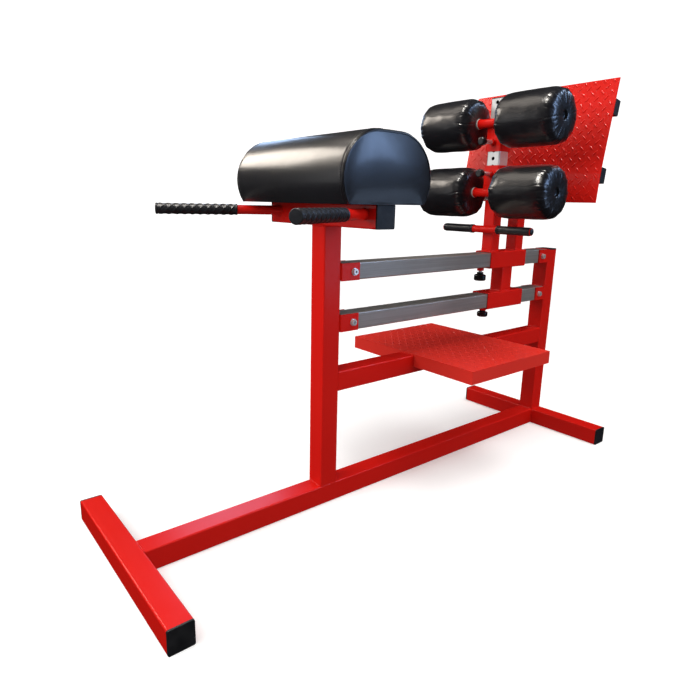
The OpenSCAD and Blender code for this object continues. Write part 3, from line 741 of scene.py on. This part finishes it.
def make_roller_shell(seed):
    """One gathered roller cover about +Y from y = 0, simulated once and shared."""
    lo, hi = box("upper_left_roller")
    length, radius = hi.y - lo.y, (hi.x - lo.x) / 2
    rng = random.Random(seed)
    ends = (gathers(rng), gathers(rng))

    def at(y, angle):
        folds = ends[0] if y < length / 2 else ends[1]
        return folds, min(y, length - y), angle % (2 * math.pi)

    rings = []
    for a, r in roller_profile(length, radius):
        ring = []
        for j in range(ROLLER_SEGMENTS):
            folds, depth_in, angle = at(a, 2 * math.pi * j / ROLLER_SEGMENTS)
            rr = r * (1 - FACET_DEPTH * facet(angle, folds) * end_share(depth_in, r))
            ring.append((rr * math.cos(angle), a, -rr * math.sin(angle)))
        rings.append(ring)
    verts, faces = rings_to_mesh(rings, (0.0, 5.0, 0.0), (0.0, length - 7.0, 0.0))
    shell = make(f"shell_{seed}", verts, faces, "roller_vinyl")
    held = {
        v.index: 1.0
        for v in shell.data.vertices
        if math.hypot(v.co.x, v.co.z) < (HUB_R + 4.0) * MM
    }
    inflate(shell, held, cap=2.6, bending=0.6, rounds=3)
    subdivide(shell)

    normals = [v.normal.copy() for v in shell.data.vertices]
    for v, n in zip(shell.data.vertices, normals):
        x, y, z = v.co / MM
        r = math.hypot(x, z)
        if r < HUB_R + 6.0:
            continue
        folds, depth_in, angle = at(y, math.atan2(-z, x))
        reach_in = min(1.0, max(0.0, (r - 24.0) / 30.0))
        push = -crease(angle, r, depth_in, folds) * reach_in
        swell = Vector((x / 31.0, y / 44.0, z / 31.0 + seed))
        push += 0.9 * noise.noise(swell, noise_basis="PERLIN_NEW")
        small = Vector((x / 9.0, y / 13.0, z / 9.0 + seed))
        near_end = math.exp(-((depth_in / 26.0) ** 2))
        push += 0.3 * near_end * noise.noise(small, noise_basis="PERLIN_NEW")
        v.co += n * push * MM
    shell.data.update()
    return shell


SHELL_SEED = 3
SEAM_ANGLE = math.radians(200)


def make_rollers():
    """Four turned copies of the cover, each with a lapped seam along its barrel."""
    shell = make_roller_shell(SHELL_SEED)
    placed = {
        "upper_left_roller": 40.0,
        "upper_right_roller": 170.0,
        "lower_left_roller": 287.0,
        "lower_right_roller": 108.0,
    }
    for name, turn in placed.items():
        lo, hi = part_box(name)
        side = 1 if lo.y > 0 else -1
        centre = Vector(((lo.x + hi.x) / 2, lo.y if side > 0 else hi.y, (lo.z + hi.z) / 2))
        move = (
            Matrix.Translation(centre)
            @ Matrix.Rotation(math.radians(turn), 4, "Y")
            @ Matrix.Diagonal((1, side, 1, 1))
        )
        mesh = shell.data.copy()
        seam = Vector((math.cos(SEAM_ANGLE), -math.sin(SEAM_ANGLE)))
        for v in mesh.vertices:
            flat = Vector((v.co.x, v.co.z))
            r = flat.length
            if r > 0.076 and flat.normalized().dot(seam) > 0.97:
                across = flat.x * -seam.y + flat.y * seam.x
                lap = 0.55 / (1 + math.exp(-across / (0.8 * MM)))
                lap *= math.exp(-(max(0.0, across) / (9 * MM)) ** 2)
                dent = -1.0 * math.exp(-((across / (1.3 * MM)) ** 2))
                push = (lap + dent) * MM / r
                v.co.x += v.co.x * push
                v.co.z += v.co.z * push
        mesh.transform(move)
        if side < 0:
            mesh.flip_normals()
        piece = bpy.data.objects.new(name.replace("_roller", "_padding"), mesh)
        scene.collection.objects.link(piece)
        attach(piece, name + "_body")
        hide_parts(name)
    bpy.data.objects.remove(shell)


make_pad()
make_rollers()


# --------------------------------------------------------------- hand grips
GRIP_ROOT_Y = 189.0
GRIP_SPLAY = math.radians(27.0)
GRIP_FROM, GRIP_TO = 125.0, 355.0
DIAMOND = 22.0             # length of one raised diamond along the grip
HELIX_STARTS = 4
KNURL_HIGH, KNURL_WIDE = 1.4, 1.5
SLEEVE_R = 14.8            # sleeve radius between the ribs


def knurl(along, angle):
    """Two crossing sets of raised helical ribs."""
    if not GRIP_FROM + 7 < along < GRIP_TO - 9:
        return 0.0
    height = 0.0
    for hand in (-1, 1):
        phase = HELIX_STARTS * angle / (2 * math.pi) + hand * along / DIAMOND
        off = abs(phase - round(phase)) * DIAMOND * 0.7
        height = max(height, KNURL_HIGH * math.exp(-((off / KNURL_WIDE) ** 2)))
    return height


def make_grips():
    lo, hi = box("grip_bars")
    mid_z = (lo.z + hi.z) / 2
    parts = []
    for s in (-1, 1):
        axis = Vector((-math.cos(GRIP_SPLAY), s * math.sin(GRIP_SPLAY), 0))
        profile = [(GRIP_FROM, 0.0), (GRIP_FROM, 13.9), (GRIP_FROM + 0.2, 15.2),
                   (GRIP_FROM + 1.0, 15.9), (GRIP_FROM + 4.5, 15.9), (GRIP_FROM + 5.5, 14.9)]
        profile += [(a, SLEEVE_R) for a in spread(GRIP_FROM + 6.5, GRIP_TO - 8.0, 1.5)]
        profile += [(GRIP_TO - 7.0, 15.0), (GRIP_TO - 6.0, 15.8), (GRIP_TO - 2.0, 16.0),
                    (GRIP_TO - 0.6, 15.2), (GRIP_TO - 0.1, 13.8), (GRIP_TO, 12.5),
                    (GRIP_TO, 0.0)]
        parts.append(
            turned(profile, (hi.x, s * GRIP_ROOT_Y, mid_z), axis, 96, knurl)
        )
    grips = make("knurled_grips", *joined(parts), "grip_rubber")
    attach(grips, "floor_frame")
    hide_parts("grip_sleeves")

    lo, hi = box("hand_bar_grips")
    origin = ((lo.x + hi.x) / 2, 0.0, (lo.z + hi.z) / 2)
    parts = []
    for s in (-1, 1):
        start, end = 50.0, hi.y
        profile = [(start, 0.0), (start, 12.8)]
        for k in range(3):                       # ribbed collar
            a = start + 4.2 * k
            profile += [(a + 0.2, 14.6), (a + 0.9, 15.3), (a + 2.4, 15.3),
                        (a + 3.1, 14.5), (a + 3.6, 13.9)]
        profile += [(a, 14.3) for a in spread(start + 14.0, end - 14.0, 8.0)]
        for t in spread(0.15, math.pi / 2 - 0.05, 0.18):
            profile.append((end - 13.5 * (1 - math.sin(t)), 1.0 + 13.3 * math.cos(t)))
        profile.append((end, 0.0))
        parts.append(turned(profile, origin, (0, s, 0), 64))
    bar_grips = make("cross_bar_grips", *joined(parts), "grip_rubber")
    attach(bar_grips, "carriage")
    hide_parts("hand_bar_grips")


make_grips()


# -------------------------------------------------------------------- tread
LUG_ACROSS, LUG_UP = 33.0, 36.0      # spacing of lugs that lean the same way
LUG_LONG, LUG_WIDE, LUG_HIGH = 11.5, 3.4, 1.8     # half length, half width, height
TRAY_LUG_HIGH = 0.5


def lug(centre, lean, limits, tall):
    """One raised almond-shaped lug in (u, v, height), cut at the sheet's edges."""
    rows, cols = 5, 9
    (u0, u1), (v0, v1) = limits
    c, s = math.cos(lean), math.sin(lean)
    grid = []
    for i in range(cols):
        t = -1 + 2 * i / (cols - 1)
        half = LUG_WIDE * max(0.12, 1 - abs(t) ** 2.2)
        row = []
        for j in range(rows):
            w = -1 + 2 * j / (rows - 1)
            u = centre[0] + t * LUG_LONG * c - w * half * s
            v = centre[1] + t * LUG_LONG * s + w * half * c
            high = tall * (1 - w * w) ** 0.8 * (1 - abs(t) ** 4) if abs(w) < 1 else 0.0
            u, v = min(max(u, u0), u1), min(max(v, v0), v1)
            row.append((u, v, high + 0.02))
        grid.append(row)
    verts = [p for row in grid for p in row]
    faces = []
    for i in range(cols - 1):
        for j in range(rows - 1):
            a = i * rows + j
            faces.append((a, a + rows, a + rows + 1, a + 1))
    rim = [i * rows for i in range(cols)]
    rim += [(cols - 1) * rows + j for j in range(1, rows)]
    rim += [i * rows + rows - 1 for i in range(cols - 2, -1, -1)]
    rim += [j for j in range(rows - 2, 0, -1)]
    base = len(verts)
    verts += [(verts[k][0], verts[k][1], -0.4) for k in rim]
    n = len(rim)
    for k in range(n):
        m = (k + 1) % n
        faces.append((rim[k], base + k, base + m, rim[m]))
    faces.append(tuple(base + k for k in reversed(range(n))))
    return verts, faces


def lug_field(limits, place, phase=(0.5, 0.5), tall=LUG_HIGH):
    """Checkered lugs over a sheet, two leans in alternate rows."""
    (u0, u1), (v0, v1) = limits
    parts = []
    for k, lean in enumerate((math.radians(48), math.radians(-48))):
        shift = 0.5 * k
        u = u0 + LUG_ACROSS * ((phase[0] + shift) % 1.0)
        while u < u1:
            v = v0 + LUG_UP * ((phase[1] + shift) % 1.0)
            while v < v1:
                verts, faces = lug((u, v), lean, limits, tall)
                parts.append(([place(*p) for p in verts], faces))
                v += LUG_UP
            u += LUG_ACROSS
    return parts


def make_tread():
    outline = {
        (round(v.co.x / MM, 3), round(v.co.z / MM, 3))
        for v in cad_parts["foot_plate"].data.vertices
    }
    lo, hi = box("foot_plate")
    flap_end = Vector(min(outline))
    upper = [Vector(p) for p in outline if p[1] > lo.z + 50]
    fold = min(upper, key=lambda p: p.x)
    top = max(upper, key=lambda p: p.y)
    parts = []
    for start, end in ((fold, top), (flap_end, fold)):
        run = (end - start).normalized()
        face = Vector((-run.y, run.x))

        def place(u, v, h, start=start, run=run, face=face):
            p = start + run * v + face * h
            return (p.x, u, p.y)

        limits = ((lo.y + 0.6, hi.y - 0.6), (1.5, (end - start).length - 1.5))
        parts += lug_field(limits, place, phase=(0.45, 0.35))
    # the sheet's outward side is -X, and (u, v) = (Y, up) faces +X, so turn the faces
    parts = [(v, [tuple(reversed(f)) for f in faces]) for v, faces in parts]
    plate = make("plate_tread", *joined(parts), "tread_paint")
    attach(plate, "carriage")

    lo, hi = box("step_tray")
    limits = ((lo.x + 2.5, hi.x - 2.5), (lo.y + 2.5, hi.y - 2.5))
    parts = lug_field(limits, lambda u, v, h: (u, v, hi.z + h), (0.4, 0.6), TRAY_LUG_HIGH)
    tray = make("tray_tread", *joined(parts), "tray_paint")
    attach(tray, "floor_frame")


make_tread()


# -------------------------------------------------------------- weld beads
def bead(a, b, radius=2.4):
    """A rippled weld bead between two points."""
    a, b = Vector(a), Vector(b)
    length = (b - a).length
    pitch = 4.2
    stops = spread(0.0, length, 1.4)

    def size(i):
        s = stops[i]
        taper = min(1.0, (min(s, length - s) + 0.6) / 2.5)
        ripple = 0.84 + 0.2 * abs(math.sin(math.pi * s / pitch))
        wobble = 1 + 0.10 * noise.noise(Vector((s / 6.0, a.x / 50, a.z / 50)))
        return radius * taper * ripple * wobble

    return tube_along([a.lerp(b, s / length) for s in stops], size, 8)


def ring_bead(centre, across, up, radius=2.4, steps=28):
    centre, across, up = Vector(centre), Vector(across), Vector(up)
    points = [
        centre + across * math.cos(t) + up * math.sin(t)
        for t in (2 * math.pi * k / steps for k in range(steps + 1))
    ]
    return tube_along(points, lambda i: radius * (0.86 + 0.18 * (i % 2)), 8)


def square_beads(x0, x1, half_y, z, radius=2.2, inset=4.0, flush_y=0.0):
    """Beads round a square tube standing on a face at height z."""
    y = half_y - flush_y
    return [
        bead((x0, -half_y + inset, z), (x0, half_y - inset, z), radius),
        bead((x1, -half_y + inset, z), (x1, half_y - inset, z), radius),
        bead((x0 + inset, -y, z), (x1 - inset, -y, z), radius),
        bead((x0 + inset, y, z), (x1 - inset, y, z), radius),
    ]


def butt_beads(x, half_y, z0, z1, radius=2.0, inset=5.0, sink=1.4):
    """Beads round a beam's end where it meets a post's face at x."""
    out = []
    for y in (-half_y + sink, half_y - sink):
        out.append(bead((x, y, z0 + inset), (x, y, z1 - inset), radius))
    for z in (z0, z1):
        out.append(bead((x, -half_y + inset, z), (x, half_y - inset, z), radius))
    return out


def make_welds():
    floor = []
    lo, hi = box("base_beam")
    for x in (lo.x, hi.x):
        for s in (-1, 1):
            floor.append(bead((x, s * 30, 5), (x, s * 30, 55), 2.4))
        floor.append(bead((x, -26, 59.2), (x, 26, 59.2), 1.7))
    lo, hi = box("front_post")
    floor += square_beads(lo.x, hi.x, hi.y, lo.z, flush_y=1.6)
    floor += square_beads(lo.x, hi.x, hi.y, hi.z, flush_y=-0.3)
    lo, hi = box("rear_post")
    floor += square_beads(lo.x + 1.4, hi.x - 1.4, hi.y, lo.z)
    lo, hi = box("mid_beam")
    for x in (lo.x, hi.x):
        floor += butt_beads(x, hi.y, lo.z, hi.z)
    blo, bhi = box("rail_brackets")
    for rail in ("upper_rail", "lower_rail"):
        rlo, rhi = box(rail)
        for x in (blo.x, bhi.x):
            for z in (rlo.z, rhi.z):
                floor.append(bead((x, -26, z), (x, 26, z), 1.8))
            for s in (-1, 1):
                floor.append(bead((x, s * 30.4, rlo.z + 3), (x, s * 30.4, rhi.z - 3), 2.0))
    glo, ghi = box("grip_bars")
    for s in (-1, 1):
        floor.append(ring_bead(
            (ghi.x - 0.4, s * GRIP_ROOT_Y, (glo.z + ghi.z) / 2), (0, 13.8, 0), (0, 0, 12.9)
        ))
    tlo, thi = box("step_tray")
    for x in (tlo.x, thi.x):
        for s in (-1, 1):
            floor.append(bead((x, s * 30.6, tlo.z + 4), (x, s * 30.6, thi.z - 9), 1.9))
    welds = make("frame_welds", *joined(floor), "red_paint")
    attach(welds, "floor_frame")

    moving = []
    for node in ("roller_upright", "plate_upright", "sleeve_spacer"):
        lo, hi = box(node)
        moving += square_beads(lo.x, hi.x, hi.y, lo.z)
    lo, hi = box("sleeve_spacer")
    moving += square_beads(lo.x, hi.x, hi.y, hi.z)
    lo, hi = box("hand_bar")
    ulo, uhi = box("roller_upright")
    mid_z = (lo.z + hi.z) / 2
    for dz in (-9.5, 9.5):
        moving.append(bead((ulo.x - 0.6, -15, mid_z + dz), (ulo.x - 0.6, 15, mid_z + dz), 2.0))
    wlo, whi = box("plate_wedge")
    for s in (-1, 1):
        moving.append(bead((wlo.x, s * 22.8, wlo.z + 3), (wlo.x, s * 22.8, whi.z - 3), 2.2))
    tlo, thi = box("height_tube")
    moving += square_beads(ulo.x, uhi.x, uhi.y, tlo.z, 1.6)
    welds = make("carriage_welds", *joined(moving), "red_paint")
    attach(welds, "carriage")

    for level in ("upper", "lower"):
        lo, hi = box(level + "_axle_tube")
        _, hhi = box(level + "_holder")
        face_x = hhi.x - 60.0                     # the holder's square front
        mid_z = (lo.z + hi.z) / 2
        small = [
            bead((face_x - 0.4, -19, mid_z + dz), (face_x - 0.4, 19, mid_z + dz), 2.2)
            for dz in (-10.5, 10.5)
        ]
        plo, phi = box(level + "_pin")
        small.append(ring_bead(
            (face_x - 0.3, 0, (plo.z + phi.z) / 2), (0, 11.4, 0), (0, 0, 11.4), 1.8
        ))
        welds = make(level + "_holder_welds", *joined(small), "red_paint")
        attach(welds, level + "_roller_holder")


make_welds()


# ---------------------------------------------------------- floor and light
WALL_GLOW = 0.75           # light given off by the surround, so that it matches the floor


def make_floor():
    """Pale floor that sweeps up into a low surround."""
    steps = 96
    profile = [(0.02, 0.0), (2.0, 0.0), (4.0, 0.0)]
    for t in spread(0.12, math.pi / 2, 0.12):
        profile.append((4.0 + 2.2 * math.sin(t), 2.2 * (1 - math.cos(t))))
    profile.append((6.2, 5.5))
    rings = [
        [(r / MM * math.cos(a), r / MM * math.sin(a), z / MM - 0.5)
         for a in (2 * math.pi * k / steps for k in range(steps))]
        for r, z in profile
    ]
    verts, faces = rings_to_mesh(rings, (0, 0, -0.5))
    p = Paint("pale_floor", Specular_IOR_Level=0.1)
    colour = p.ramp(p.noise(1.5, 3.0), [(0.3, (0.86, 0.86, 0.86)), (0.7, (0.89, 0.89, 0.89))])
    material = p.finish(colour, p.ramp(p.noise(30.0), [(0.3, 0.7), (0.7, 0.8)]))
    away = p.add("ShaderNodeVectorMath", Vector=p.stretched((0.16, 0.16, 0.16)))
    away.operation = "LENGTH"
    glow = p.ramp(away.outputs["Value"], [(0.10, 0.22), (0.62, 0.55), (1.0, WALL_GLOW)])
    p.set(p.bsdf.inputs["Emission Color"], glow)
    p.bsdf.inputs["Emission Strength"].default_value = 1.0
    mesh = bpy.data.meshes.new("floor")
    mesh.from_pydata([tuple(c * MM for c in v) for v in verts], [], faces)
    mesh.materials.append(material)
    mesh.polygons.foreach_set("use_smooth", [True] * len(mesh.polygons))
    floor = bpy.data.objects.new("floor", mesh)
    scene.collection.objects.link(floor)
    floor.visible_glossy = False
    floor.visible_diffuse = False


def lamp(name, place, target, size, power, colour, mirrored=False):
    """Soft area light. It either lights surfaces, or is only mirrored in glossy ones."""
    data = bpy.data.lights.new(name, "AREA")
    data.shape = "RECTANGLE"
    data.size, data.size_y = size
    data.energy = power
    data.color = colour
    light = bpy.data.objects.new(name, data)
    light.location = place
    aim = Vector(target) - Vector(place)
    light.rotation_mode = "QUATERNION"
    light.rotation_quaternion = aim.to_track_quat("-Z", "Y")
    light.visible_camera = False
    light.visible_glossy = mirrored
    light.visible_diffuse = not mirrored
    scene.collection.objects.link(light)


def make_light():
    world = bpy.data.worlds.new("room")
    scene.world = world
    world.use_nodes = True
    background = world.node_tree.nodes["Background"]
    background.inputs["Color"].default_value = (1.0, 0.98, 0.97, 1.0)
    background.inputs["Strength"].default_value = 0.30
    world.cycles_visibility.glossy = False
    middle = (0, 0, 0.7)
    warm, cool = (1.0, 0.90, 0.79), (0.50, 0.68, 1.0)
    blue, glint, white = (0.38, 0.58, 1.0), (1.0, 0.95, 0.88), (1.0, 1.0, 1.0)
    soft = (1.0, 0.99, 0.97)
    lamp("key", (-2.5, -0.3, 3.6), middle, (3.0, 2.4), 90, soft)
    lamp("top", (1.0, -0.6, 3.6), middle, (2.4, 1.8), 78, soft)
    lamp("front", (-3.2, 0.9, 2.1), middle, (2.4, 1.6), 68, soft)
    lamp("fill", (0.8, -3.6, 1.4), middle, (2.2, 1.4), 40, (1.0, 0.98, 0.96))
    lamp("low_sheen", (0.55, 2.15, 1.6), (-0.4, 0, 0.6), (0.8, 0.8), 7, cool, True)
    lamp("high_band", (-1.1, 2.45, 2.4), (-0.35, 0, 1.0), (1.0, 1.1), 40, warm, True)
    lamp("roof_band", (-0.5, 1.3, 3.15), (0.4, -0.1, 1.15), (1.3, 1.0), 9, warm, True)
    lamp("side_panel", (1.6, -2.6, 1.85), (-0.2, -0.2, 1.0), (0.9, 1.1), 29, blue, True)
    lamp("blotch", (2.3, -1.35, 2.6), (0.45, -0.3, 1.1), (0.6, 0.5), 14, cool, True)
    lamp("front_strip", (-2.7, 2.2, 1.35), (0.5, 0, 1.1), (0.8, 1.6), 4.0, white, True)
    lamp("rail_sheen", (2.1, -2.9, 0.3), (0.0, 0, 0.7), (1.2, 0.5), 4.0, cool, True)
    lamp("tread_glint", (-1.3, 0, 3.8), (0.7, 0, 1.1), (0.9, 0.9), 130, glint, True)


make_floor()
make_light()
